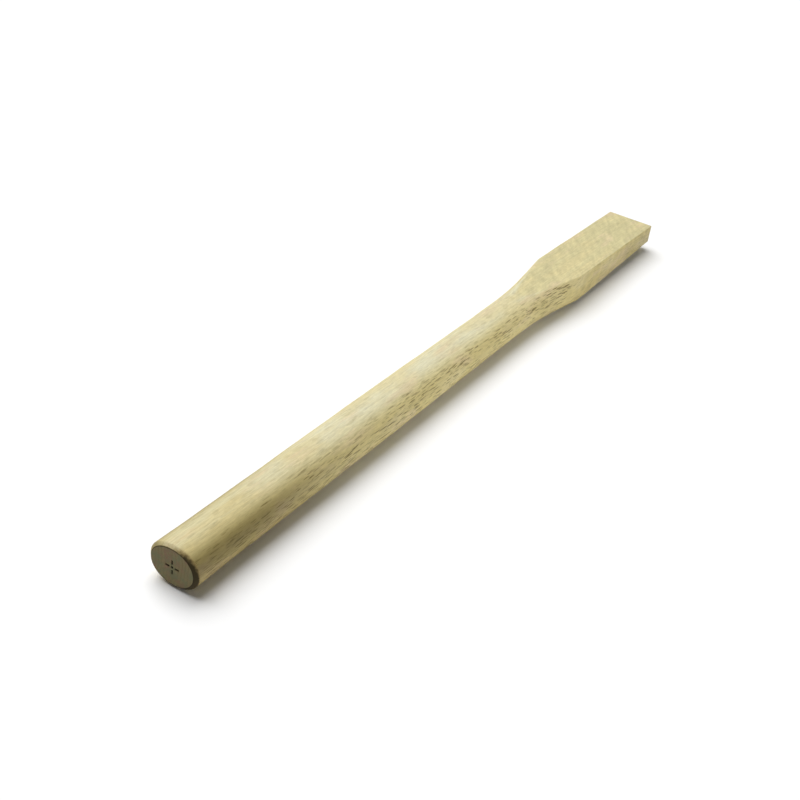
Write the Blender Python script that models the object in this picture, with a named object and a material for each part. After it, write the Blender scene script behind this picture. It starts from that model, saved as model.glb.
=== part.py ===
"""Bare wooden handle of a splitting maul, as it is sold before a head is fitted.

It is one piece of beech. The blank is turned to an oval for the hands, left wider
towards the head, and sawn on four sides to a tapered tongue that fills a maul's eye.
The butt is chamfered and carries the bite of the lathe's drive centre.

Metres. The handle lies along X with its butt towards -X and its tongue towards +X.
Y runs across its wide faces and Z is up. The floor touches its underside at Z = 0.
"""

import bmesh
import bpy
import numpy as np

# Whole handle.
LENGTH = 0.800

# Hand grip: an oval, a little fuller than an ellipse.
OVAL_POWER = 2.1
GRIP_WIDTH = 0.0451
GRIP_HEIGHT = 0.0376
GRIP_LENGTH = 0.240

# Butt: a slight swell that keeps the hand on, then a chamfer round the end face.
BUTT_WIDTH = 0.0464
BUTT_HEIGHT = 0.0380
BUTT_SWELL_LENGTH = 0.080
BUTT_CHAMFER = 0.0029

# Neck: the thinnest turned oval, reached this far ahead of the tongue's root.
NECK_WIDTH = 0.0429
NECK_HEIGHT = 0.0358
NECK_LENGTH = 0.160

# Shoulder: how far the turned oval would swell on each side by the tongue's root.
WIDTH_FLARE = 0.0118
WIDTH_FLARE_LENGTH = 0.130
WIDTH_FLARE_POWER = 2.0
HEIGHT_FLARE = 0.0090
HEIGHT_FLARE_LENGTH = 0.101
HEIGHT_FLARE_POWER = 1.25

# Tongue: four sawn flats. It keeps its width and thins towards the square-cut end.
TONGUE_LENGTH = 0.180
TONGUE_WIDTH = 0.0540
TONGUE_ROOT_HEIGHT = 0.0299
TONGUE_END_HEIGHT = 0.0203
TONGUE_EDGE_BREAK = 0.0006

# How softly the sanding rounds the edges: between two flats, and where a flat begins.
CORNER_BLEND = 0.0016
FLAT_START_BLEND = 0.0007

# Bite of the lathe's drive centre in the butt: a cone-shaped point and a ring of blades.
POINT_WIDTH = 0.0026
POINT_DEPTH = 0.0024
POINT_SIDES = 12
BLADE_COUNT = 4
BLADE_LENGTH = 0.0042
BLADE_WIDTH = 0.0018
BLADE_DEPTH = 0.0017
BLADE_FROM_AXIS = 0.0045
BLADE_TAPER = 0.55
CUTTER_STANDOFF = 0.0006

# Fineness of the surface.
GRIP_RING_COUNT = 14
SHOULDER_RING_COUNT = 42
TONGUE_RING_COUNT = 7
POINTS_BELOW_CORNER = 4
POINTS_ABOVE_CORNER = 8
SHARP_ANGLE = np.radians(28.0)

# Derived sizes. Distances along the handle are counted from the butt.
TONGUE_ROOT = LENGTH - TONGUE_LENGTH
NECK_START = TONGUE_ROOT - NECK_LENGTH

BEECH_COLOUR = (0.62, 0.54, 0.31, 1.0)


def clear_scene():
    """Removes whatever the scene holds."""
    for thing in list(bpy.data.objects):
        bpy.data.objects.remove(thing, do_unlink=True)


def eased(start, end, distance):
    """0 before start, 1 after end, and an even curve between them."""
    t = np.clip((distance - start) / (end - start), 0.0, 1.0)
    return t * t * (3.0 - 2.0 * t)


def soft_min(first, second, blend):
    """The smaller of two lengths, rounded off where they differ by less than blend."""
    overlap = np.maximum(blend - np.abs(first - second), 0.0) / blend
    return np.minimum(first, second) - overlap * overlap * blend / 4.0


def turned_half_sizes(distance):
    """Half width and half height of the turned oval at this distance from the butt."""
    swell_run = BUTT_SWELL_LENGTH - BUTT_CHAMFER
    swell = np.clip((BUTT_SWELL_LENGTH - distance) / swell_run, 0.0, 1.0) ** 2
    thinning = eased(GRIP_LENGTH, NECK_START, distance)
    width = GRIP_WIDTH + (BUTT_WIDTH - GRIP_WIDTH) * swell + (NECK_WIDTH - GRIP_WIDTH) * thinning
    height = GRIP_HEIGHT + (BUTT_HEIGHT - GRIP_HEIGHT) * swell + (NECK_HEIGHT - GRIP_HEIGHT) * thinning
    before_root = TONGUE_ROOT - distance
    wide_run = np.maximum(1.0 - before_root / WIDTH_FLARE_LENGTH, 0.0)
    high_run = np.maximum(1.0 - before_root / HEIGHT_FLARE_LENGTH, 0.0)
    half_width = width / 2 + WIDTH_FLARE * wide_run**WIDTH_FLARE_POWER
    half_height = height / 2 + HEIGHT_FLARE * high_run**HEIGHT_FLARE_POWER
    return half_width, half_height


def sawn_half_sizes(distance):
    """Half width and half height between the sawn flats at this distance from the butt."""
    from_end = (LENGTH - distance) / TONGUE_LENGTH
    height = TONGUE_END_HEIGHT + (TONGUE_ROOT_HEIGHT - TONGUE_END_HEIGHT) * from_end
    return TONGUE_WIDTH / 2, height / 2


def section_angles(half_width, half_height):
    """Angles round one section, closest together at the corners of the tongue.

    The top and the bottom fall between two points, so the handle rests on a narrow facet.
    """
    corner = np.arctan2(half_height, half_width)
    edge = CORNER_BLEND / (half_width / np.tan(corner) + half_height * np.tan(corner))
    below = np.linspace(0.0, corner - edge, POINTS_BELOW_CORNER + 1)
    above = np.linspace(corner + edge, np.pi / 2, 2 * POINTS_ABOVE_CORNER + 2)[::2]
    quarter = np.concatenate([below, [corner], above])
    half = np.concatenate([quarter, np.pi - quarter[::-1]])
    return np.concatenate([half, 2 * np.pi - half[-2:0:-1]])


def section(distance, inset=0.0):
    """Points round one section about the handle's axis, with the outline moved in by inset."""
    turned_width, turned_height = turned_half_sizes(distance)
    sawn_width, sawn_height = sawn_half_sizes(distance)
    angles = section_angles(sawn_width, sawn_height)
    across = np.maximum(np.abs(np.cos(angles)), 1e-6)
    upward = np.maximum(np.abs(np.sin(angles)), 1e-6)
    oval_side = (across / (turned_width - inset)) ** OVAL_POWER
    oval_top = (upward / (turned_height - inset)) ** OVAL_POWER
    oval = (oval_side + oval_top) ** (-1.0 / OVAL_POWER)
    to_side = (sawn_width - inset) / across
    to_top = (sawn_height - inset) / upward
    radius = soft_min(oval, soft_min(to_side, to_top, CORNER_BLEND), FLAT_START_BLEND)
    along = np.full_like(angles, distance - LENGTH / 2)
    return np.stack([along, radius * np.cos(angles), radius * np.sin(angles)], axis=1)


def ring_distances():
    """Where the full-size rings lie, from the butt chamfer to the edge of the tongue's end."""
    grip = np.linspace(BUTT_CHAMFER, BUTT_SWELL_LENGTH, 5)
    shaft = np.linspace(BUTT_SWELL_LENGTH, NECK_START, GRIP_RING_COUNT)[1:]
    shoulder = np.linspace(NECK_START, TONGUE_ROOT, SHOULDER_RING_COUNT)[1:]
    tongue = np.linspace(TONGUE_ROOT, LENGTH - TONGUE_EDGE_BREAK, TONGUE_RING_COUNT)[1:]
    return np.concatenate([grip, shaft, shoulder, tongue])


def mesh_object(name, points, faces):
    """A mesh object with its faces turned outwards."""
    mesh = bpy.data.meshes.new(name)
    mesh.from_pydata([tuple(point) for point in points], [], faces)
    editable = bmesh.new()
    editable.from_mesh(mesh)
    bmesh.ops.recalc_face_normals(editable, faces=editable.faces)
    editable.to_mesh(mesh)
    editable.free()
    thing = bpy.data.objects.new(name, mesh)
    bpy.context.scene.collection.objects.link(thing)
    return thing


def handle_blank():
    """The handle before the lathe marks it: rings joined by quads, with two flat ends."""
    rings = [section(0.0, BUTT_CHAMFER)]
    rings += [section(distance) for distance in ring_distances()]
    rings.append(section(LENGTH, TONGUE_EDGE_BREAK))
    count = len(rings[0])
    faces = [tuple(range(count))]
    for ring in range(len(rings) - 1):
        base = ring * count
        for point in range(count):
            after = (point + 1) % count
            faces.append((base + point, base + after, base + count + after, base + count + point))
    last = (len(rings) - 1) * count
    faces.append(tuple(range(last, last + count)))
    return mesh_object("handle", np.concatenate(rings), faces)


def point_cutter():
    """A cone, standing just proud of the butt, that leaves the drive centre's middle hole."""
    mouth = -LENGTH / 2 - CUTTER_STANDOFF
    reach = POINT_WIDTH / 2 * (1.0 + CUTTER_STANDOFF / POINT_DEPTH)
    turns = 2 * np.pi * np.arange(POINT_SIDES) / POINT_SIDES
    points = [(mouth, reach * np.cos(turn), reach * np.sin(turn)) for turn in turns]
    points.append((-LENGTH / 2 + POINT_DEPTH, 0.0, 0.0))
    faces = [(side, (side + 1) % POINT_SIDES, POINT_SIDES) for side in range(POINT_SIDES)]
    faces.append(tuple(range(POINT_SIDES)))
    return mesh_object("drive_point", points, faces)


def blade_cutter(number):
    """A chisel-shaped solid, standing just proud of the butt, that leaves one radial slit."""
    mouth = -LENGTH / 2 - CUTTER_STANDOFF
    tip = -LENGTH / 2 + BLADE_DEPTH
    half_long = BLADE_LENGTH / 2 * (1.0 + CUTTER_STANDOFF / BLADE_DEPTH * (1.0 - BLADE_TAPER))
    half_wide = BLADE_WIDTH / 2 * (1.0 + CUTTER_STANDOFF / BLADE_DEPTH)
    half_ridge = BLADE_LENGTH / 2 * BLADE_TAPER
    corners = [
        (mouth, BLADE_FROM_AXIS - half_long, -half_wide),
        (mouth, BLADE_FROM_AXIS + half_long, -half_wide),
        (mouth, BLADE_FROM_AXIS + half_long, half_wide),
        (mouth, BLADE_FROM_AXIS - half_long, half_wide),
        (tip, BLADE_FROM_AXIS - half_ridge, 0.0),
        (tip, BLADE_FROM_AXIS + half_ridge, 0.0),
    ]
    turn = 2 * np.pi * number / BLADE_COUNT
    points = [
        (x, y * np.cos(turn) - z * np.sin(turn), y * np.sin(turn) + z * np.cos(turn))
        for x, y, z in corners
    ]
    faces = [(0, 1, 2, 3), (0, 4, 5, 1), (1, 5, 2), (2, 5, 4, 3), (3, 4, 0)]
    return mesh_object("drive_blade_%d" % number, points, faces)


def cut_drive_marks(handle):
    """Sinks the bite of the drive centre into the butt."""
    cutters = [point_cutter()]
    cutters += [blade_cutter(number) for number in range(BLADE_COUNT)]
    for cutter in cutters:
        cutter.hide_render = True
        cutter.display_type = "WIRE"
        cut = handle.modifiers.new(cutter.name, "BOOLEAN")
        cut.operation = "DIFFERENCE"
        cut.solver = "EXACT"
        cut.object = cutter


def lift_onto_floor(handle):
    """Raises the handle and its cutters until its underside touches Z = 0."""
    lowest = min(point.co.z for point in handle.data.vertices)
    for thing in bpy.data.objects:
        thing.location.z = -lowest


def beech():
    """Bare, sanded beech."""
    material = bpy.data.materials.new("handle")
    material.use_nodes = True
    shader = material.node_tree.nodes["Principled BSDF"]
    shader.inputs["Base Color"].default_value = BEECH_COLOUR
    shader.inputs["Roughness"].default_value = 0.6
    material.diffuse_color = BEECH_COLOUR
    return material


def main():
    """Builds the handle."""
    clear_scene()
    handle = handle_blank()
    handle.data.materials.append(beech())
    handle.data.shade_smooth()
    handle.data.set_sharp_from_angle(angle=SHARP_ANGLE)
    cut_drive_marks(handle)
    lift_onto_floor(handle)


main()
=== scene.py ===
"""Bare beech handle of a splitting maul, lying on a pale studio floor.

The handle is one piece of wood: an oval grip with a chamfered butt, a flared shoulder
and a tongue sawn flat on four sides. Its surface is worked out here as one closed grid,
and most of its look comes from the wood itself: growth rings and rays about a pith that lies
beside the handle, so the same tree shows on the long faces and on the end grain. Shade is
also painted into the long grain's colour: towards the butt, and on the side faces.

Metres. The handle lies along X with its butt towards -X, Y runs across its wide faces
and Z is up.
"""

from __future__ import annotations

import logging
import math
from dataclasses import dataclass, replace
from enum import Enum

import bpy
import numpy as np
from mathutils import Matrix, Vector


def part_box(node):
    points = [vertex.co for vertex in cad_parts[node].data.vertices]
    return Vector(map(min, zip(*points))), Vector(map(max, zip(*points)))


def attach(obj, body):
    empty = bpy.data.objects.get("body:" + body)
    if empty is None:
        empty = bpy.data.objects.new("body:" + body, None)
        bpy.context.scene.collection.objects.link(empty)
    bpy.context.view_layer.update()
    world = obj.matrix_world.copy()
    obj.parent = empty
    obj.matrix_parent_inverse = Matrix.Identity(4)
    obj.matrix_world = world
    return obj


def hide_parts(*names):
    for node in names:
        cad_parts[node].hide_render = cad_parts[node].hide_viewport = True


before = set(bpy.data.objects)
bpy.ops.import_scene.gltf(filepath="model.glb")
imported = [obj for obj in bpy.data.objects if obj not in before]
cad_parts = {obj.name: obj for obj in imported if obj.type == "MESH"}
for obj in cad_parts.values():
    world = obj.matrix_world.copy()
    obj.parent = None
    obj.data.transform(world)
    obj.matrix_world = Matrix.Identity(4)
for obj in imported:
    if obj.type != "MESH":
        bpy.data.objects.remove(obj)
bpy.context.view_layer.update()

LOG = logging.getLogger("maul_handle")

Colour = tuple[float, float, float, float]
Band = tuple[float, float]
Array = np.ndarray
Socket = bpy.types.NodeSocket
NodeTree = bpy.types.NodeTree
FLOAT = "NodeSocketFloat"
VECTOR = "NodeSocketVector"

# A share too small to matter, a number past any chamfer, and a full frame in millimetres.
LEAST_SHARE = 1e-6
FAR_PAST = 1e3
SENSOR_WIDTH = 36.0


class Face(Enum):
    """The kinds of surface that cutting leaves on the wood, as material indices."""

    LONG_GRAIN = 0
    END_GRAIN = 1


# ---- Curves that more than one surface uses ----


def eased(start: float, end: float, value: Array) -> Array:
    """Cubic step: three t squared less two t cubed, with t the clamped share of the way.

    Args:
        start: Value at which the step leaves 0.
        end: Value at which it reaches 1.
        value: Where to read it.

    Returns:
        Numbers from 0 to 1, in the shape of value.
    """
    share = np.clip((value - start) / (end - start), 0.0, 1.0)
    return share * share * (3.0 - 2.0 * share)


def soft_min(first: Array, second: Array, blend: float) -> Array:
    """The lesser of two lengths, less a quarter of blend times the squared overlap.

    The overlap is the share of blend by which the two lengths are closer than blend, so
    surfaces that cross meet in a small round instead of a crease.

    Args:
        first: One length.
        second: The other length.
        blend: Difference under which the round begins.

    Returns:
        The blended length.
    """
    overlap = np.maximum(blend - np.abs(first - second), 0.0) / blend
    return np.minimum(first, second) - overlap * overlap * blend / 4.0


@dataclass(frozen=True)
class DriveBite:
    """What the lathe's drive centre leaves in the butt: a cone-shaped hole and four slits."""

    point_width: float = 0.0026
    point_depth: float = 0.0024
    blade_count: int = 4
    blade_length: float = 0.0042
    blade_width: float = 0.0018
    blade_depth: float = 0.0017
    blade_from_axis: float = 0.0045
    blade_taper: float = 0.55
    lip: float = 0.00012
    lip_reach: float = 0.0005
    reach: float = 0.0085

    def depth_at(self, across: Array, upward: Array) -> Array:
        """How far the surface is pushed in at points of the butt face.

        The middle hole falls in proportion to the distance from its rim. Each slit is a
        hipped trough, whose depth falls with the distance from its middle line, and again
        towards each end past the taper. A low bell-shaped lip stands along its edge.

        Args:
            across: Distance from the handle's axis along Y.
            upward: Distance from the handle's axis along Z.

        Returns:
            Depth below the face, negative where the lip stands proud.
        """
        from_axis = np.hypot(across, upward)
        step = 2 * np.pi / self.blade_count
        turn = np.arctan2(upward, across)
        off_blade = turn - step * np.round(turn / step)
        outward = from_axis * np.cos(off_blade)
        aside = np.abs(from_axis * np.sin(off_blade)) / (self.blade_width / 2)
        along = np.abs(outward - self.blade_from_axis) / (self.blade_length / 2)
        flank = np.minimum(1.0 - aside, (1.0 - along) / (1.0 - self.blade_taper))
        past_edge = -flank * self.blade_width / 2
        lip = self.lip * np.exp(-((past_edge / self.lip_reach) ** 2))
        slits = self.blade_depth * np.clip(flank, 0.0, 1.0) - np.where(flank < 0.0, lip, 0.0)
        hole = self.point_depth * (1.0 - from_axis / (self.point_width / 2))
        return np.where(from_axis < self.reach, np.maximum(slits, hole), 0.0)


@dataclass(frozen=True)
class SandingWave:
    """One low wave of the sanded surface, which winds round the handle."""

    share: float
    length: float
    turns: int
    phase: float

    def at(self, along: Array, angle: Array) -> Array:
        """Its height at points along and round the handle, from -share to share."""
        run = along * 2 * np.pi / self.length + self.turns * angle + self.phase
        return self.share * np.sin(run)


@dataclass(frozen=True)
class Sections:
    """Sections across the handle, each with its distance from the butt and its inset.

    The inset is how far its outline is moved in. The angles are its points' own, from +Y
    towards +Z, one row for each section.
    """

    distance: Array
    inset: Array
    angle: Array


@dataclass
class HandleShape:
    """Sizes of the handle and the outline of every section along it."""

    length: float
    axis_height: float
    middle: Vector

    oval_power: float = 2.1
    grip_width: float = 0.0451
    grip_height: float = 0.0376
    grip_length: float = 0.240

    butt_width: float = 0.0464
    butt_height: float = 0.0380
    butt_swell_length: float = 0.080
    butt_chamfer: float = 0.0029

    neck_width: float = 0.0429
    neck_height: float = 0.0358
    neck_length: float = 0.160

    width_flare: float = 0.0118
    width_flare_length: float = 0.130
    width_flare_power: float = 2.0
    height_flare: float = 0.0090
    height_flare_length: float = 0.101
    height_flare_power: float = 1.25

    tongue_length: float = 0.180
    tongue_width: float = 0.0540
    tongue_root_height: float = 0.0299
    tongue_end_height: float = 0.0203
    tongue_edge_break: float = 0.0006

    corner_blend: float = 0.0016
    flat_start_blend: float = 0.0007
    sanding_height: float = 0.00007
    sanding_fade: float = 0.03
    sanding_waves: tuple[SandingWave, ...] = (
        SandingWave(1.0, 0.083, 2, 0.7),
        SandingWave(0.7, 0.047, -3, 2.1),
        SandingWave(0.5, 0.151, 5, 4.0),
    )

    @property
    def tongue_root(self) -> float:
        """Distance from the butt to the root of the tongue."""
        return self.length - self.tongue_length

    @property
    def neck_start(self) -> float:
        """Distance from the butt to the thinnest oval."""
        return self.tongue_root - self.neck_length

    def turned(self, distance: Array) -> tuple[Array, Array]:
        """Half width and half height of the turned oval.

        The oval eases from the grip to the thinner neck, swells by a squared ramp at the
        butt, and flares by a power of the share of the shoulder that is passed.

        Args:
            distance: Distances from the butt.

        Returns:
            Half widths and half heights.
        """
        swell_run = self.butt_swell_length - self.butt_chamfer
        swell = np.clip((self.butt_swell_length - distance) / swell_run, 0.0, 1.0) ** 2
        thinning = eased(self.grip_length, self.neck_start, distance)
        width = self.grip_width + (self.butt_width - self.grip_width) * swell
        width = width + (self.neck_width - self.grip_width) * thinning
        height = self.grip_height + (self.butt_height - self.grip_height) * swell
        height = height + (self.neck_height - self.grip_height) * thinning
        before_root = self.tongue_root - distance
        wide_run = np.maximum(1.0 - before_root / self.width_flare_length, 0.0)
        high_run = np.maximum(1.0 - before_root / self.height_flare_length, 0.0)
        half_width = width / 2 + self.width_flare * wide_run**self.width_flare_power
        half_height = height / 2 + self.height_flare * high_run**self.height_flare_power
        return half_width, half_height

    def sawn(self, distance: Array) -> tuple[Array, Array]:
        """Half width and half height between the sawn flats.

        The width stays the same and the height falls in a straight line.

        Args:
            distance: Distances from the butt.

        Returns:
            Half widths and half heights.
        """
        share = (self.length - distance) / self.tongue_length
        taper = self.tongue_root_height - self.tongue_end_height
        height = self.tongue_end_height + taper * share
        return np.full_like(height, self.tongue_width / 2), height / 2

    def angles(self, distance: Array, quarter: AngleSpread) -> Array:
        """Angles round each section, gathered at the corners of the tongue.

        Args:
            distance: Distances from the butt, one for each section.
            quarter: How many points a quarter turn has below, in and above the corner.

        Returns:
            Angles from +Y towards +Z, one row for each section.
        """
        half_width, half_height = self.sawn(distance)
        corner = np.arctan2(half_height, half_width)[:, None]
        leverage = half_width[:, None] / np.tan(corner) + half_height[:, None] * np.tan(corner)
        edge = self.corner_blend / leverage
        below = (corner - edge) * np.linspace(0.0, 1.0, quarter.below + 1)
        within = corner + edge * np.linspace(-1.0, 1.0, quarter.within + 1)[1:-1]
        above_start = corner + edge
        above = above_start + (np.pi / 2 - above_start) * np.linspace(0.0, 1.0, quarter.above + 1)
        first = np.concatenate([below, within, above], axis=1)
        half = np.concatenate([first, np.pi - first[:, -2::-1]], axis=1)
        return np.concatenate([half, 2 * np.pi - half[:, -2:0:-1]], axis=1)

    def cuts(self, at: Sections) -> tuple[Array, Array]:
        """Lengths from the axis to the turned oval and to the sawn flats.

        The oval is a superellipse, and the flats are the softly blended least of the
        lengths to the side flats and to the top and bottom flats.

        Args:
            at: The sections to cut.

        Returns:
            Both lengths, for each angle of each section.
        """
        turned_width, turned_height = self.turned(at.distance)
        sawn_width, sawn_height = self.sawn(at.distance)
        across = np.maximum(np.abs(np.cos(at.angle)), LEAST_SHARE)
        upward = np.maximum(np.abs(np.sin(at.angle)), LEAST_SHARE)
        oval_side = (across / (turned_width - at.inset)[:, None]) ** self.oval_power
        oval_top = (upward / (turned_height - at.inset)[:, None]) ** self.oval_power
        oval = (oval_side + oval_top) ** (-1.0 / self.oval_power)
        to_side = (sawn_width - at.inset)[:, None] / across
        to_top = (sawn_height - at.inset)[:, None] / upward
        return oval, soft_min(to_side, to_top, self.corner_blend)

    def radius(self, at: Sections) -> Array:
        """Distance from the axis to the surface: the lesser cut, plus the sanding waves."""
        oval, flats = self.cuts(at)
        return soft_min(oval, flats, self.flat_start_blend) + self.sanding(at)

    def flatness(self, at: Sections) -> Array:
        """1 on the sawn flats and 0 on the turned oval, with a short ease between them."""
        oval, flats = self.cuts(replace(at, inset=np.zeros_like(at.inset)))
        return eased(-self.flat_start_blend, self.flat_start_blend, oval - flats)

    def sanding(self, at: Sections) -> Array:
        """Low waves left by sanding: sines of distance and angle, fading at the ends."""
        along = at.distance[:, None]
        total = sum(wave.at(along, at.angle) for wave in self.sanding_waves)
        fade = eased(0.0, self.sanding_fade, along)
        fade = fade * (1.0 - eased(self.length - self.sanding_fade, self.length, along))
        return self.sanding_height * total * fade


@dataclass(frozen=True)
class AngleSpread:
    """How many steps a quarter turn has on each side of a corner and within its round."""

    below: int = 15
    within: int = 6
    above: int = 25


@dataclass(frozen=True)
class EndPath:
    """A path from the middle of an end face, out over its edge and along the side.

    Each entry is a distance from the end plane, an inset of the outline and a share of
    the way from the axis to that outline.
    """

    depth: Array
    inset: Array
    share: Array
    travelled: Array

    @staticmethod
    def over_edge(
        reach: float, cut: float, face_step: float, edge_step: float, side: float
    ) -> EndPath:
        """A flat face, a bevel of size cut, and a stretch of side, with rounded corners.

        The corners of the straight-line path are rounded by a moving average.

        Args:
            reach: Distance from the axis to the edge of the face.
            cut: Size of the bevel along the handle and across it.
            face_step: Spacing of the points on the face.
            edge_step: Spacing of the points on the bevel.
            side: Length of side that the path takes in after the bevel.

        Returns:
            The path, without the point on the axis.
        """
        bevel = math.hypot(cut, cut)
        knots = np.array([0.0, reach, reach + bevel, reach + bevel + side])
        face = np.linspace(face_step, reach - 2 * cut, round((reach - 2 * cut) / face_step))
        edge_start = face[-1] + edge_step
        edge_end = reach + bevel + side
        edge = np.linspace(edge_start, edge_end, round((edge_end - edge_start) / edge_step))
        travelled = np.concatenate([face, edge])
        window = travelled[:, None] + np.linspace(-cut / 4, cut / 4, 9)
        depth = np.interp(window, knots, [0.0, 0.0, cut, cut + side]).mean(axis=1)
        inset = np.interp(window, knots, [cut, cut, 0.0, 0.0]).mean(axis=1)
        share = np.interp(window, knots, [0.0, 1.0, 1.0, 1.0]).mean(axis=1)
        return EndPath(depth, inset, share, (travelled - reach) / bevel)


# ---- Shader building ----


@dataclass(frozen=True)
class Grain:
    """Smooth noise: its cells to the metre each way, its finer layers and their strength."""

    cells: tuple[float, float, float]
    detail: float = 2.0
    rough: float = 0.5


@dataclass
class Bench:
    """Places and joins the nodes of one node tree."""

    tree: NodeTree

    def place(self, kind: str, **settings: object) -> bpy.types.Node:
        """Adds a node and sets its properties."""
        node = self.tree.nodes.new(kind)
        for name, value in settings.items():
            setattr(node, name, value)
        return node

    def feed(self, socket: Socket, value: object) -> None:
        """Joins another socket to this one, or sets its value."""
        if isinstance(value, Socket):
            self.tree.links.new(value, socket)
        else:
            socket.default_value = value

    def fed(self, kind: str, *values: object, **settings: object) -> bpy.types.Node:
        """Adds a node, sets its properties and feeds its first inputs in turn."""
        node = self.place(kind, **settings)
        for socket, value in zip(node.inputs, values):
            self.feed(socket, value)
        return node

    def use(self, group: NodeTree, **values: object) -> bpy.types.Node:
        """Places a group and feeds its inputs by name."""
        node = self.place("ShaderNodeGroup", node_tree=group)
        for name, value in values.items():
            self.feed(node.inputs[name], value)
        return node

    def sum_up(self, operation: str, *values: object) -> Socket:
        """The result of a Math node on one to three values."""
        return self.fed("ShaderNodeMath", *values, operation=operation).outputs["Value"]

    def times(self, first: object, second: object) -> Socket:
        """The product of two values."""
        return self.sum_up("MULTIPLY", first, second)

    def line(self, value: object, slope: object, start: object) -> Socket:
        """The value times the slope, plus the start."""
        return self.sum_up("MULTIPLY_ADD", value, slope, start)

    def spread(self, value: object, width: float) -> Socket:
        """Turns a value about one half into a factor about one that swings by width."""
        return self.line(value, width, 1.0 - width / 2)

    def ramp(self, value: object, low: float, high: float) -> Socket:
        """0 at low and 1 at high, clamped, with an even curve between."""
        kind = "ShaderNodeMapRange"
        return self.fed(kind, value, low, high, interpolation_type="SMOOTHSTEP").outputs["Result"]

    def blend(self, factor: object, first: object, second: object, kind: str = "MIX") -> Socket:
        """Mixes two colours by the second one's share."""
        node = self.place("ShaderNodeMix", data_type="RGBA", blend_type=kind)
        self.feed(node.inputs["Factor"], factor)
        colours = [socket for socket in node.inputs if socket.type == "RGBA"]
        self.feed(colours[0], first)
        self.feed(colours[1], second)
        return next(socket for socket in node.outputs if socket.type == "RGBA")

    def cover(self, colour: object, hue: Colour, where: object, most: float) -> Socket:
        """Lays a hue over a colour: its share is where times most."""
        return self.blend(self.times(where, most), colour, hue)

    def stretched(self, vector: object, scale: tuple[float, float, float]) -> Socket:
        """Multiplies a vector by three numbers."""
        node = self.fed("ShaderNodeVectorMath", vector, scale, operation="MULTIPLY")
        return node.outputs["Vector"]

    def noise(self, vector: object, grain: Grain) -> Socket:
        """Smooth noise about one half, read at a vector."""
        node = self.place("ShaderNodeTexNoise", noise_dimensions="3D")
        self.feed(node.inputs["Vector"], self.stretched(vector, grain.cells))
        node.inputs["Scale"].default_value = 1.0
        node.inputs["Detail"].default_value = grain.detail
        node.inputs["Roughness"].default_value = grain.rough
        return node.outputs["Fac"]

    def centred_noise(self, vector: object, grain: Grain) -> Socket:
        """Smooth noise about zero."""
        return self.sum_up("SUBTRACT", self.noise(vector, grain), 0.5)

    def mark(self, name: str) -> Socket:
        """Reads one of the piece's own point values."""
        kind = "ShaderNodeAttribute"
        return self.place(kind, attribute_name=name, attribute_type="GEOMETRY").outputs["Fac"]

    def spot(self) -> Socket:
        """Where the point lies, in metres."""
        return self.place("ShaderNodeTexCoord").outputs["Object"]

    def split(self, vector: object) -> tuple[Socket, ...]:
        """The three parts of a vector."""
        return tuple(self.fed("ShaderNodeSeparateXYZ", vector).outputs)

    def joined(self, first: object, second: object, third: object) -> Socket:
        """A vector of three values."""
        return self.fed("ShaderNodeCombineXYZ", first, second, third).outputs["Vector"]

    def grey(self, value: object) -> Socket:
        """A grey of this value."""
        return self.fed("ShaderNodeCombineColor", value, value, value).outputs["Color"]

    def bumped(self, height: object, strength: float, distance: float) -> Socket:
        """A normal that follows heights, where 1 stands for so many metres."""
        node = self.place("ShaderNodeBump")
        node.inputs["Strength"].default_value = strength
        node.inputs["Distance"].default_value = distance
        self.feed(node.inputs["Height"], height)
        return node.outputs["Normal"]


def new_group(
    name: str, inputs: dict[str, str], outputs: dict[str, str]
) -> tuple[Bench, dict[str, Socket], dict[str, Socket]]:
    """An empty shader group with named sockets.

    Args:
        name: Name of the group.
        inputs: Socket names and their types.
        outputs: Socket names and their types.

    Returns:
        A bench for the group, its inputs by name, and its outputs by name.
    """
    tree = bpy.data.node_groups.new(name, "ShaderNodeTree")
    for side, sockets in (("INPUT", inputs), ("OUTPUT", outputs)):
        for label, kind in sockets.items():
            tree.interface.new_socket(name=label, in_out=side, socket_type=kind)
    bench = Bench(tree)
    entry = bench.place("NodeGroupInput")
    leave = bench.place("NodeGroupOutput")
    return bench, {s.name: s for s in entry.outputs}, {s.name: s for s in leave.inputs}


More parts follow.
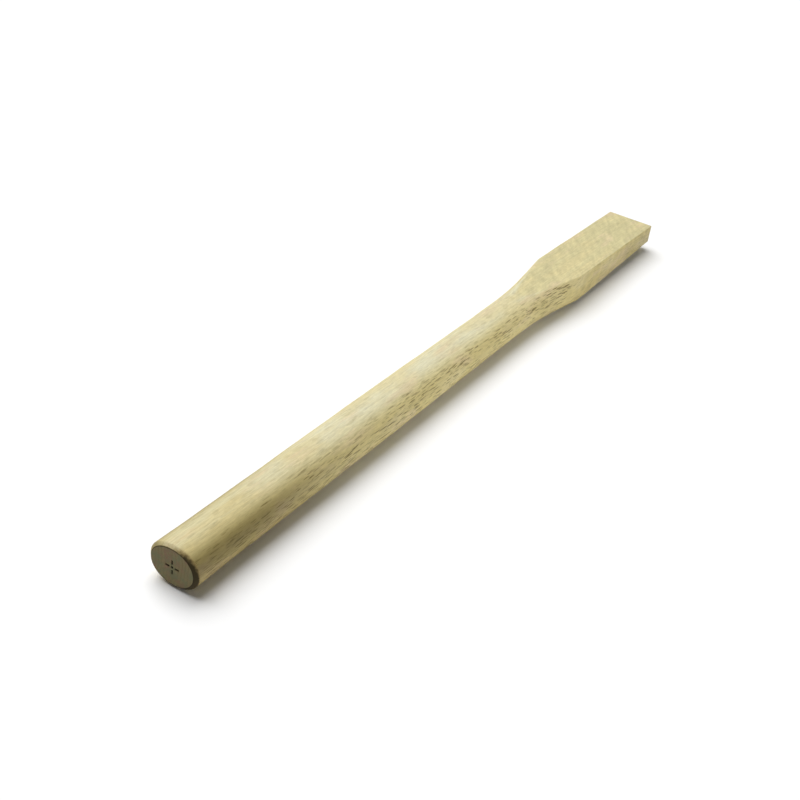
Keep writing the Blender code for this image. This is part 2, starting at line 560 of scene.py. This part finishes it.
@dataclass(frozen=True)
class Tree:
    """Where the pith of the tree runs beside the handle, and how its wood grew."""

    pith_side: float = 0.066
    pith_height: float = 0.027
    drift: float = 0.012
    wander: float = 0.0040
    sideways: Grain = Grain((4.0, 10.0, 10.0), 1.0)
    up_and_down: Grain = Grain((6.8, 17.0, 17.0), 1.0)

    ring_pitch: float = 0.0031
    ring_waver: float = 1.6
    ring_noise: Grain = Grain((60.0, 60.0, 6.0))
    late_from: float = 0.30
    late_peak: float = 0.93

    ray_spacing: float = 0.00125
    ray_length: float = 0.0225
    ray_reach: float = 0.018
    ray_edge: Band = (0.36, 0.26)
    ray_raggedness: float = 0.08
    ray_noise: Grain = Grain((1500.0, 1500.0, 160.0))
    ray_faintest: float = 0.35

    def position_group(self) -> NodeTree:
        """Turns a place on the handle into a place in the tree.

        The tree's axis runs along X, beside the handle, and wanders slowly. The vector
        holds the distance from the pith, the arc round the pith at a fixed radius, and
        the distance along the grain, all in metres. Facing tells how squarely the
        surface cuts the rays.

        Returns:
            The group, with outputs Wood and Facing.
        """
        bench, _, leave = new_group("tree_position", {}, {"Wood": VECTOR, "Facing": FLOAT})
        spot = bench.spot()
        along, side, height = bench.split(spot)
        across = bench.sum_up("ADD", side, bench.line(along, self.drift, -self.pith_side))
        across = bench.line(bench.centred_noise(spot, self.sideways), 2 * self.wander, across)
        upward = bench.sum_up("SUBTRACT", height, self.pith_height)
        upward = bench.line(bench.centred_noise(spot, self.up_and_down), 2 * self.wander, upward)
        squares = bench.line(upward, upward, bench.times(across, across))
        radius = bench.sum_up("SQRT", squares)
        turn = bench.sum_up("ARCTAN2", upward, bench.times(across, -1.0))
        arc = bench.times(turn, self.pith_side)
        bench.feed(leave["Wood"], bench.joined(radius, arc, along))
        kind = "ShaderNodeVectorMath"
        ray = bench.fed(kind, bench.joined(0.0, across, upward), operation="NORMALIZE")
        normal = bench.place("ShaderNodeNewGeometry").outputs["Normal"]
        square_on = bench.fed(kind, ray.outputs["Vector"], normal, operation="DOT_PRODUCT")
        bench.feed(leave["Facing"], bench.sum_up("ABSOLUTE", square_on.outputs["Value"]))
        return bench.tree

    def ring_group(self) -> NodeTree:
        """Growth rings: a slow darkening to each late wood line, then a quick return.

        Returns:
            The group, with outputs Late and Season.
        """
        outputs = {"Late": FLOAT, "Season": FLOAT}
        bench, entry, leave = new_group("growth_rings", {"Wood": VECTOR}, outputs)
        from_pith, _, _ = bench.split(entry["Wood"])
        count = bench.sum_up("DIVIDE", from_pith, self.ring_pitch)
        count = bench.line(bench.noise(entry["Wood"], self.ring_noise), self.ring_waver, count)
        phase = bench.sum_up("FRACT", count)
        rise = bench.ramp(phase, self.late_from, self.late_peak)
        drop = bench.ramp(phase, 1.0, self.late_peak)
        bench.feed(leave["Late"], bench.times(rise, drop))
        year = bench.place("ShaderNodeTexWhiteNoise", noise_dimensions="1D")
        bench.feed(year.inputs["W"], bench.sum_up("FLOOR", count))
        bench.feed(leave["Season"], year.outputs["Value"])
        return bench.tree

    def ray_group(self) -> NodeTree:
        """Rays: flattened spindles that run out from the pith.

        Cells of a stretched Voronoi pattern are a ray spacing wide, a ray length long and
        a ray reach deep. A thin spindle shows about each cell's point, if its random draw
        keeps it.

        Returns:
            The group, with inputs Wood, Size and Kept, and the output Ray.
        """
        inputs = {"Wood": VECTOR, "Size": FLOAT, "Kept": FLOAT}
        bench, entry, leave = new_group("rays", inputs, {"Ray": FLOAT})
        cells = (1.0 / self.ray_reach, 1.0 / self.ray_spacing, 1.0 / self.ray_length)
        in_cells = bench.stretched(entry["Wood"], cells)
        sized = bench.fed("ShaderNodeVectorMath", in_cells, operation="SCALE")
        bench.feed(sized.inputs["Scale"], entry["Size"])
        kind = "ShaderNodeTexVoronoi"
        pattern = bench.place(kind, voronoi_dimensions="3D", distance="EUCLIDEAN")
        bench.feed(pattern.inputs["Vector"], sized.outputs["Vector"])
        pattern.inputs["Scale"].default_value = 1.0
        ragged = bench.noise(entry["Wood"], self.ray_noise)
        distance = bench.line(ragged, self.ray_raggedness, pattern.outputs["Distance"])
        draw = bench.fed("ShaderNodeSeparateColor", pattern.outputs["Color"])
        keep = bench.sum_up("LESS_THAN", draw.outputs["Red"], entry["Kept"])
        strength = bench.line(draw.outputs["Green"], 1.0 - self.ray_faintest, self.ray_faintest)
        near = bench.ramp(distance, *self.ray_edge)
        bench.feed(leave["Ray"], bench.times(near, bench.times(keep, strength)))
        return bench.tree


@dataclass(frozen=True)
class FrictionBurn:
    """Friction burn at the butt's edge: char, broken up by noise, in a faint tan surround."""

    raggedness: float = 0.42
    noise: Grain = Grain((380.0, 380.0, 380.0), 3.0, 0.6)
    char: Band = (0.24, 0.60)
    tan: Band = (0.06, 0.46)

    def group(self) -> NodeTree:
        """Turns the piece's own burn value into masks.

        Returns:
            The group, with outputs Char and Tan.
        """
        bench, _, leave = new_group("friction_burn", {}, {"Char": FLOAT, "Tan": FLOAT})
        ragged = bench.centred_noise(bench.spot(), self.noise)
        uneven = bench.line(ragged, self.raggedness, bench.mark("burn"))
        bench.feed(leave["Char"], bench.ramp(uneven, *self.char))
        bench.feed(leave["Tan"], bench.ramp(uneven, *self.tan))
        return bench.tree


@dataclass(frozen=True)
class WoodGroups:
    """The shared groups that both cuts of the wood are painted from."""

    position: NodeTree
    rings: NodeTree
    rays: NodeTree
    burn: NodeTree

    @staticmethod
    def grown(tree: Tree, burn: FrictionBurn) -> WoodGroups:
        """Builds the groups for one tree."""
        return WoodGroups(tree.position_group(), tree.ring_group(), tree.ray_group(), burn.group())


def new_material(name: str) -> tuple[bpy.types.Material, Bench, bpy.types.Node]:
    """A material, a bench for its tree, and its shader node."""
    material = bpy.data.materials.new(name)
    material.use_nodes = True
    return material, Bench(material.node_tree), material.node_tree.nodes["Principled BSDF"]


@dataclass(frozen=True)
class Patches:
    """Patches of a hue: none where the noise is low, and a share of most where it is high."""

    hue: Colour
    grain: Grain
    low: float
    high: float
    most: float = 1.0

    def lay(self, bench: Bench, wood: object, colour: object) -> Socket:
        """Lays the patches over a colour."""
        where = bench.ramp(bench.noise(wood, self.grain), self.low, self.high)
        return bench.cover(colour, self.hue, where, self.most)


@dataclass(frozen=True)
class Dashes:
    """How the dark dashes of rays cut across are kept, layered and shown."""

    crowding: Grain = Grain((75.0, 75.0, 22.0))
    crowded: Band = (0.36, 0.60)
    kept_least: float = 0.50
    kept_more: float = 0.45
    layers: tuple[tuple[float, float], ...] = ((1.0, 1.0), (1.17, 0.9), (1.4, 0.85), (1.8, 0.6))
    cut_across: Band = (0.40, 0.90)
    shown_least: float = 0.16
    shown_more: float = 0.80
    most: float = 0.85

    def strength(self, bench: Bench, rays: NodeTree, place: bpy.types.Node) -> Socket:
        """Adds up layers of rays, each of its own size and share, crowding in places.

        Args:
            bench: The material's bench.
            rays: The group of rays.
            place: The node that tells the place in the tree.

        Returns:
            Strength of the dashes.
        """
        wood = place.outputs["Wood"]
        crowd = bench.ramp(bench.noise(wood, self.crowding), *self.crowded)
        kept = bench.line(crowd, self.kept_more, self.kept_least)
        total = 0.0
        for size, share in self.layers:
            layer = bench.use(rays, Wood=wood, Size=size, Kept=kept)
            total = bench.line(layer.outputs["Ray"], share, total)
        cut_across = bench.ramp(place.outputs["Facing"], *self.cut_across)
        show = bench.line(cut_across, self.shown_more, self.shown_least)
        return bench.sum_up("MINIMUM", bench.times(total, show), self.most)


@dataclass(frozen=True)
class LongGrainFinish:
    """Sanded beech cut along the grain."""

    # The tangential colour is partly the wood's own side cut and partly painted shade: the side
    # faces are darker and warmer in it.
    radial: Colour = (0.690, 0.660, 0.460, 1.0)
    tangential_and_side_shade: Colour = (0.620, 0.525, 0.228, 1.0)
    radial_to_tangential_and_shade: Band = (0.05, 0.88)
    straw: Patches = Patches(
        (0.665, 0.575, 0.300, 1.0), Grain((55.0, 55.0, 13.0)), 0.46, 0.66, 0.65
    )
    rosy: Patches = Patches(
        (0.670, 0.530, 0.345, 1.0), Grain((85.0, 85.0, 22.0)), 0.52, 0.72, 0.45
    )
    sawn_tint: Colour = (0.885, 0.835, 0.650, 1.0)
    sawn_lost: float = 0.85
    late_wood: Colour = (0.500, 0.400, 0.190, 1.0)
    late_most: float = 0.15

    streaks: Grain = Grain((620.0, 620.0, 14.0), 3.0, 0.6)
    streak_swing: float = 0.20
    short_streaks: Grain = Grain((1000.0, 1000.0, 105.0), 2.0, 0.6)
    short_swing: float = 0.42
    fibres: Grain = Grain((2800.0, 2800.0, 260.0), 2.0, 0.6)
    fibre_swing: float = 0.30
    season_swing: float = 0.05
    flecks: Grain = Grain((55.0, 60.0, 200.0), 2.5)
    fleck_lean: float = -56.0
    fleck_swing: float = 0.46
    fleck_on_oval: float = 0.30

    dash: Colour = (0.155, 0.112, 0.030, 1.0)
    dashes: Dashes = Dashes()
    dash_lost_on_sawn: float = 0.5

    # Painted shade: the first tint darkens the wood all round towards the butt, the second darkens
    # its sides there.
    butt_shade_tint: Colour = (0.930, 0.880, 0.740, 1.0)
    side_shade_tint: Colour = (0.530, 0.520, 0.480, 1.0)
    shade_starts_at: float = -0.19
    shade_full_at: float = -0.35
    side_shade_top: float = 0.0378
    side_shade_high: float = 0.0300
    side_shade_low: float = 0.0275
    side_shade_foot: float = 0.0150
    side_shade_foot_lost: float = 0.6

    tanned: Colour = (0.360, 0.250, 0.090, 1.0)
    tanned_most: float = 0.75
    charred: Colour = (0.026, 0.019, 0.004, 1.0)
    charred_most: float = 0.94

    roughness: float = 0.58
    roughness_swing: float = 0.20
    char_roughness: float = 0.25
    shine: float = 0.28
    dash_sunk: float = 0.9
    short_raised: float = 0.8
    fleck_raised: float = 1.2
    relief: float = 0.00014
    relief_strength: float = 0.40

    def make(self, groups: WoodGroups) -> bpy.types.Material:
        """Builds the material from the shared wood groups."""
        material, bench, shader = new_material("beech_long_grain")
        place = bench.use(groups.position)
        wood = place.outputs["Wood"]
        facing = bench.ramp(place.outputs["Facing"], *self.radial_to_tangential_and_shade)
        rings = bench.use(groups.rings, Wood=wood)
        sawn = bench.mark("sawn")
        burn = bench.use(groups.burn)
        short = bench.noise(wood, self.short_streaks)
        fibre = bench.noise(wood, self.fibres)
        fleck = self.fleck(bench, wood)

        # Side faces get the darker, warmer tangential colour, which is partly painted shade.
        colour = bench.blend(facing, self.radial, self.tangential_and_side_shade)
        rough_sawn = bench.times(sawn, bench.line(facing, -self.sawn_lost, 1.0))
        colour = bench.blend(rough_sawn, colour, self.sawn_tint, "MULTIPLY")
        colour = self.straw.lay(bench, wood, colour)
        colour = self.rosy.lay(bench, wood, colour)
        colour = bench.cover(colour, self.late_wood, rings.outputs["Late"], self.late_most)
        tone = bench.spread(bench.noise(wood, self.streaks), self.streak_swing)
        tone = bench.times(tone, bench.spread(short, self.short_swing))
        tone = bench.times(tone, bench.spread(fibre, self.fibre_swing))
        tone = bench.times(tone, bench.spread(rings.outputs["Season"], self.season_swing))
        seen = bench.line(sawn, 1.0 - self.fleck_on_oval, self.fleck_on_oval)
        tone = bench.times(tone, bench.line(fleck, seen, 1.0))
        colour = bench.blend(1.0, colour, bench.grey(tone), "MULTIPLY")
        # Painted shade towards the butt: all round, and deeper along the sides.
        shade_all_round, shade_on_sides = self.painted_butt_shade(bench)
        colour = bench.blend(shade_all_round, colour, self.butt_shade_tint, "MULTIPLY")
        colour = bench.blend(shade_on_sides, colour, self.side_shade_tint, "MULTIPLY")
        rays = self.dashes.strength(bench, groups.rays, place)
        rays = bench.times(rays, bench.line(sawn, -self.dash_lost_on_sawn, 1.0))
        colour = bench.blend(rays, colour, self.dash)
        colour = bench.cover(colour, self.tanned, burn.outputs["Tan"], self.tanned_most)
        colour = bench.cover(colour, self.charred, burn.outputs["Char"], self.charred_most)
        bench.feed(shader.inputs["Base Color"], colour)

        swing = self.roughness_swing
        rough = bench.line(short, swing, self.roughness - swing / 2)
        rough = bench.line(burn.outputs["Char"], self.char_roughness, rough)
        bench.feed(shader.inputs["Roughness"], rough)
        shader.inputs["Specular IOR Level"].default_value = self.shine

        height = bench.line(rays, -self.dash_sunk, fibre)
        height = bench.line(short, self.short_raised, height)
        height = bench.line(bench.times(fleck, sawn), self.fleck_raised, height)
        normal = bench.bumped(height, self.relief_strength, self.relief)
        bench.feed(shader.inputs["Normal"], normal)
        return material

    def fleck(self, bench: Bench, wood: object) -> Socket:
        """Flecks about 0, drawn out obliquely, as wide rays and a coarse belt leave them."""
        slanted = bench.fed("ShaderNodeVectorRotate", wood, rotation_type="Y_AXIS")
        slanted.inputs["Angle"].default_value = math.radians(self.fleck_lean)
        blotch = bench.centred_noise(slanted.outputs["Vector"], self.flecks)
        return bench.times(blotch, self.fleck_swing)

    def painted_butt_shade(self, bench: Bench) -> tuple[Socket, Socket]:
        """Painted shade near the butt: a light darkening all round, and a deeper one along its
        sides.

        Returns:
            The oiled and the soiled share of the surface, from 0 to 1.
        """
        along, _, height = bench.split(bench.spot())
        # Painted shade grows from shade_starts_at to shade_full_at along the handle, and on the
        # sides by height.
        near_butt = bench.ramp(along, self.shade_starts_at, self.shade_full_at)
        below_top = bench.ramp(height, self.side_shade_top, self.side_shade_high)
        below_side_band = bench.ramp(height, self.side_shade_low, self.side_shade_foot)
        side_band = bench.times(below_top, bench.line(below_side_band, -self.side_shade_foot_lost, 1.0))
        return near_butt, bench.times(near_butt, side_band)


@dataclass(frozen=True)
class EndGrainFinish:
    """Beech cut across the grain: darker, with rings as arcs and rays as fine lines."""

    early: Colour = (0.222, 0.186, 0.094, 1.0)
    late: Colour = (0.160, 0.126, 0.060, 1.0)
    late_most: float = 0.45
    russet: Patches = Patches(
        (0.225, 0.152, 0.090, 1.0), Grain((144.0, 144.0, 96.0), 3.0, 0.6), 0.48, 0.66
    )
    weathered: Patches = Patches(
        (0.176, 0.172, 0.092, 1.0), Grain((130.0, 130.0, 95.0), 3.0, 0.6), 0.44, 0.66
    )
    spokes: Patches = Patches(
        (0.250, 0.210, 0.112, 1.0), Grain((90.0, 1500.0, 55.0), 2.0, 0.55), 0.58, 0.72, 0.30
    )
    pores: Patches = Patches(
        (0.022, 0.017, 0.008, 1.0), Grain((3000.0, 3000.0, 40.0), 2.0, 0.6), 0.56, 0.72, 0.40
    )
    bite_most: float = 0.95
    charred: Colour = (0.034, 0.025, 0.010, 1.0)
    charred_most: float = 0.94
    roughness: float = 0.85
    roughness_swing: float = 0.1
    shine: float = 0.15
    kerf: Grain = Grain((1500.0, 420.0, 40.0))
    relief: float = 0.00018
    relief_strength: float = 0.5

    def make(self, groups: WoodGroups) -> bpy.types.Material:
        """Builds the material from the shared wood groups."""
        material, bench, shader = new_material("beech_end_grain")
        wood = bench.use(groups.position).outputs["Wood"]
        rings = bench.use(groups.rings, Wood=wood)
        burn = bench.use(groups.burn)
        pores = bench.noise(wood, self.pores.grain)

        colour = bench.cover(self.early, self.late, rings.outputs["Late"], self.late_most)
        for patches in (self.russet, self.weathered, self.spokes, self.pores):
            colour = patches.lay(bench, wood, colour)
        colour = bench.cover(colour, self.pores.hue, bench.mark("bite"), self.bite_most)
        colour = bench.cover(colour, self.charred, burn.outputs["Char"], self.charred_most)
        bench.feed(shader.inputs["Base Color"], colour)
        swing = self.roughness_swing
        rough = bench.line(pores, swing, self.roughness - swing / 2)
        bench.feed(shader.inputs["Roughness"], rough)
        shader.inputs["Specular IOR Level"].default_value = self.shine

        height = bench.line(pores, -1.0, bench.noise(wood, self.kerf))
        normal = bench.bumped(height, self.relief_strength, self.relief)
        bench.feed(shader.inputs["Normal"], normal)
        return material


# ---- The handle ----


def placed(name: str, data: bpy.types.ID) -> bpy.types.Object:
    """Puts a new object with this data into the scene."""
    thing = bpy.data.objects.new(name, data)
    bpy.context.scene.collection.objects.link(thing)
    return thing


@dataclass
class MaulHandle:
    """The whole handle: one closed surface, dressed as sanded beech."""

    shape: HandleShape
    spread: AngleSpread = AngleSpread()
    bite: DriveBite = DriveBite()
    face_step: float = 0.00022
    edge_step: float = 0.00030
    side_stretch: float = 0.004
    tip_face_step: float = 0.00066
    tip_edge_step: float = 0.0001
    tip_stretch: float = 0.002
    shaft_step: float = 0.0040
    shoulder_step: float = 0.0013
    shoulder_overrun: float = 0.01
    tongue_step: float = 0.0040
    end_grain_edge: float = 0.02
    burn_heading: float = math.pi + 0.35
    burn_focus: float = 1.2
    burn_least: float = 0.02
    burn_starts: Band = (-0.20, 0.05)
    burn_ends: Band = (0.9, 1.7)
    burn_falls: float = 0.50
    burn_line: float = 0.50
    line_starts: Band = (-0.14, -0.02)
    line_ends: Band = (0.10, 0.34)
    bite_dark: float = 0.0009

    def path(self) -> tuple[Array, Array, Array, Array]:
        """The line that every meridian of the surface follows.

        It runs from the middle of the butt face over the chamfer, along the side and over
        the tongue's edge to the middle of its end.

        Returns:
            Distance from the butt, inset of the outline, share of the way out, and how
            far each point is across the butt's chamfer (0 at its inner edge, 1 at its
            outer edge).
        """
        shape = self.shape
        butt = EndPath.over_edge(
            shape.butt_height / 2 - shape.butt_chamfer,
            shape.butt_chamfer,
            self.face_step,
            self.edge_step,
            self.side_stretch,
        )
        tip = EndPath.over_edge(
            shape.tongue_end_height / 2 - shape.tongue_edge_break,
            shape.tongue_edge_break,
            self.tip_face_step,
            self.tip_edge_step,
            self.tip_stretch,
        )
        first = butt.depth[-1]
        last = shape.length - tip.depth[-1]
        shaft = np.arange(first + self.edge_step, shape.neck_start, self.shaft_step)
        shoulder_end = shape.tongue_root + self.shoulder_overrun
        shoulder = np.arange(shape.neck_start, shoulder_end, self.shoulder_step)
        tongue = np.arange(shoulder_end + self.tongue_step, last, self.tongue_step)
        side = np.concatenate([shaft, shoulder, tongue])
        still = np.zeros_like(side)
        distance = np.concatenate([butt.depth, side, shape.length - tip.depth[::-1]])
        inset = np.concatenate([butt.inset, still, tip.inset[::-1]])
        share = np.concatenate([butt.share, still + 1.0, tip.share[::-1]])
        past = np.full(len(side) + len(tip.depth), FAR_PAST)
        return distance, inset, share, np.concatenate([butt.travelled, past])

    def points(self) -> tuple[Array, dict[str, Array]]:
        """Every point of the surface, with the marks that the finishes read.

        A point lies at the section's radius, times the share of the way out, along its
        angle. On the butt face the drive centre then pushes it in.

        Returns:
            Points as a grid of sections by angles, and each mark's values in that grid.
        """
        shape = self.shape
        distance, inset, share, chamfer = self.path()
        angle = shape.angles(distance, self.spread)
        sections = Sections(distance, inset, angle)
        radius = shape.radius(sections) * share[:, None]
        across = radius * np.cos(angle)
        upward = radius * np.sin(angle)
        on_face = (share < 1.0) & (distance < shape.length / 2)
        sunk = np.where(on_face[:, None], self.bite.depth_at(across, upward), 0.0)
        along = distance[:, None] + sunk
        grid = np.stack([along - shape.length / 2, across, upward], axis=2)
        grid = grid + np.array([shape.middle.x, shape.middle.y, shape.axis_height])
        marks = {
            "burn": self.burn(chamfer, angle),
            "bite": np.clip(sunk / self.bite_dark, 0.0, 1.0),
            "sawn": shape.flatness(sections),
        }
        return grid, marks

    def burn(self, chamfer: Array, angle: Array) -> Array:
        """How strongly friction has burnt the butt's edge.

        Across the chamfer the burn is strongest at the inner edge, weaker at the outer
        one, and gone a little past it. Round the butt it is strongest at one heading. A
        narrow line of it follows the whole inner edge.

        Args:
            chamfer: How far each section is across the chamfer.
            angle: Angles round each section.

        Returns:
            Burn values from 0 to 1 in the shape of angle.
        """
        across = 1.0 - self.burn_falls * np.clip(chamfer, 0.0, 1.0)
        across = eased(*self.burn_starts, chamfer) * across
        across = across * (1.0 - eased(*self.burn_ends, chamfer))
        cover = ((1.0 + np.cos(angle - self.burn_heading)) / 2) ** self.burn_focus
        wide = across[:, None] * (self.burn_least + (1.0 - self.burn_least) * cover)
        line = eased(*self.line_starts, chamfer) * (1.0 - eased(*self.line_ends, chamfer))
        return np.maximum(wide, self.burn_line * line[:, None])

    def build(self) -> bpy.types.Object:
        """Makes the mesh object: quads between sections, and a fan at each end's middle.

        Returns:
            The handle, at the origin, with its place in its mesh.
        """
        grid, marks = self.points()
        sections, around = grid.shape[:2]
        first_pole = grid[0].mean(axis=0)
        last_pole = grid[-1].mean(axis=0)
        points = np.concatenate([grid.reshape(-1, 3), [first_pole, last_pole]])
        row = np.arange(sections - 1)[:, None] * around
        here = np.arange(around)[None, :]
        after = (here + 1) % around
        corners = [row + here, row + around + here, row + around + after, row + after]
        quads = np.stack(corners, axis=2)
        low = np.arange(around)
        high = (low + 1) % around
        start = np.stack([np.full(around, sections * around), low, high], axis=1)
        top = (sections - 1) * around
        finish = np.stack([np.full(around, sections * around + 1), top + high, top + low], axis=1)
        mesh = bpy.data.meshes.new("handle_wood")
        faces = quads.reshape(-1, 4).tolist() + start.tolist() + finish.tolist()
        mesh.from_pydata(points.tolist(), [], faces)
        for name, values in marks.items():
            attribute = mesh.attributes.new(name, "FLOAT", "POINT")
            ends = [values[0].mean(), values[-1].mean()]
            attribute.data.foreach_set("value", np.append(values.ravel(), ends).astype(np.float32))
        self.mark_faces(mesh, sections, around)
        mesh.shade_smooth()
        return placed("handle_wood", mesh)

    def mark_faces(self, mesh: bpy.types.Mesh, sections: int, around: int) -> None:
        """Gives both ends' faces the end grain, in a grid of sections by points around."""
        _, _, share, chamfer = self.path()
        inside = share < 1.0 - LEAST_SHARE
        on_end = inside[:-1] & inside[1:] | (chamfer[1:] < self.end_grain_edge)
        index = np.full(len(mesh.polygons), Face.LONG_GRAIN.value, np.int32)
        index[: (sections - 1) * around] = np.repeat(on_end, around) * Face.END_GRAIN.value
        index[(sections - 1) * around :] = Face.END_GRAIN.value
        mesh.polygons.foreach_set("material_index", index)

    def dress(self, handle: bpy.types.Object, groups: WoodGroups) -> None:
        """Gives the handle its two cuts of beech."""
        handle.data.materials.append(LongGrainFinish().make(groups))
        handle.data.materials.append(EndGrainFinish().make(groups))


# ---- Studio ----


@dataclass(frozen=True)
class Viewpoint:
    """Where the camera stands, in metres from the middle of the handle, and how it looks."""

    eye: tuple[float, float, float] = (-0.91984, -0.46101, 0.61008)
    heading: float = 29.293
    dip: float = 33.063
    roll: float = 7.362
    lens: float = 56.25

    def set_up(self, middle: Vector) -> None:
        """Creates the camera, beside the middle of the handle's box."""
        turn = math.radians(self.heading)
        dip = math.radians(self.dip)
        level = math.cos(dip)
        ahead = Vector((level * math.cos(turn), level * math.sin(turn), -math.sin(dip)))
        right = ahead.cross(Vector((0.0, 0.0, 1.0))).normalized()
        upward = right.cross(ahead)
        facing = Matrix((right, upward, -ahead)).transposed().to_4x4()
        data = bpy.data.cameras.new("camera")
        data.lens = self.lens
        data.sensor_width = SENSOR_WIDTH
        camera = placed("camera", data)
        camera.matrix_world = (
            Matrix.Translation(middle + Vector(self.eye))
            @ facing
            @ Matrix.Rotation(math.radians(self.roll), 4, "Z")
        )
        bpy.context.scene.camera = camera


@dataclass(frozen=True)
class Panel:
    """A square soft light with a beam of so many degrees, out of the camera's sight."""

    name: str
    place: tuple[float, float, float]
    aim: tuple[float, float, float]
    size: float
    power: float
    beam: float

    def hang(self) -> None:
        """Creates the light and turns it towards its aim."""
        data = bpy.data.lights.new(self.name, "AREA")
        data.shape = "SQUARE"
        data.size = self.size
        data.energy = self.power
        data.spread = math.radians(self.beam)
        lamp = placed(self.name, data)
        lamp.location = self.place
        beam = Vector(self.aim) - Vector(self.place)
        lamp.rotation_euler = beam.to_track_quat("-Z", "Y").to_euler()
        lamp.visible_camera = False


@dataclass(frozen=True)
class Studio:
    """A pale floor under a broad key light, with a low side panel."""

    floor_size: float = 60.0
    floor_colour: Colour = (0.95, 0.95, 0.95, 1.0)
    floor_roughness: float = 0.9
    key_strength: float = 3.4
    key_spread: float = 60.0
    key_heading: float = 70.0
    key_height: float = 62.0
    fill_strength: float = 0.13
    side_panel: Panel = Panel(
        "side_panel", (0.07, -0.80, 0.11), (0.07, 0.0, 0.02), 0.4, 0.54, 74.0
    )

    def lay_floor(self, level: float) -> None:
        """Lays the floor at this height."""
        half = self.floor_size / 2
        turns = ((-half, -half), (half, -half), (half, half), (-half, half))
        corners = [(along, across, level) for along, across in turns]
        mesh = bpy.data.meshes.new("studio_floor")
        mesh.from_pydata(corners, [], [(0, 1, 2, 3)])
        material, bench, shader = new_material("pale_floor")
        bench.feed(shader.inputs["Base Color"], self.floor_colour)
        shader.inputs["Roughness"].default_value = self.floor_roughness
        shader.inputs["Specular IOR Level"].default_value = 0.0
        mesh.materials.append(material)
        floor = placed("studio_floor", mesh)

    def light(self) -> None:
        """Hangs the key light and the side panel, and sets the fill."""
        data = bpy.data.lights.new("key", "SUN")
        data.energy = self.key_strength
        data.angle = math.radians(self.key_spread)
        key = placed("key", data)
        tilt = math.radians(90.0 - self.key_height)
        key.rotation_euler = (tilt, 0.0, math.radians(self.key_heading + 90.0))
        self.side_panel.hang()
        world = bpy.data.worlds.new("studio_fill")
        world.use_nodes = True
        background = world.node_tree.nodes["Background"]
        background.inputs["Color"].default_value = (1.0, 1.0, 1.0, 1.0)
        background.inputs["Strength"].default_value = self.fill_strength
        bpy.context.scene.world = world


def main() -> None:
    """Builds the handle round its frame, dresses it, and sets up the studio."""
    logging.basicConfig(level=logging.INFO, format="%(name)s: %(message)s")
    low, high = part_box("handle")
    middle = (low + high) / 2
    handle_maker = MaulHandle(HandleShape(high.x - low.x, middle.z, middle))
    handle = handle_maker.build()
    handle_maker.dress(handle, WoodGroups.grown(Tree(), FrictionBurn()))
    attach(handle, "root")
    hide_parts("handle")
    mesh = handle.data
    LOG.info("%s: %d points, %d faces", handle.name, len(mesh.vertices), len(mesh.polygons))

    studio = Studio()
    studio.lay_floor(low.z)
    studio.light()
    bpy.context.scene.view_settings.view_transform = "Standard"
    Viewpoint().set_up(middle)


if __name__ == "__main__":
    main()
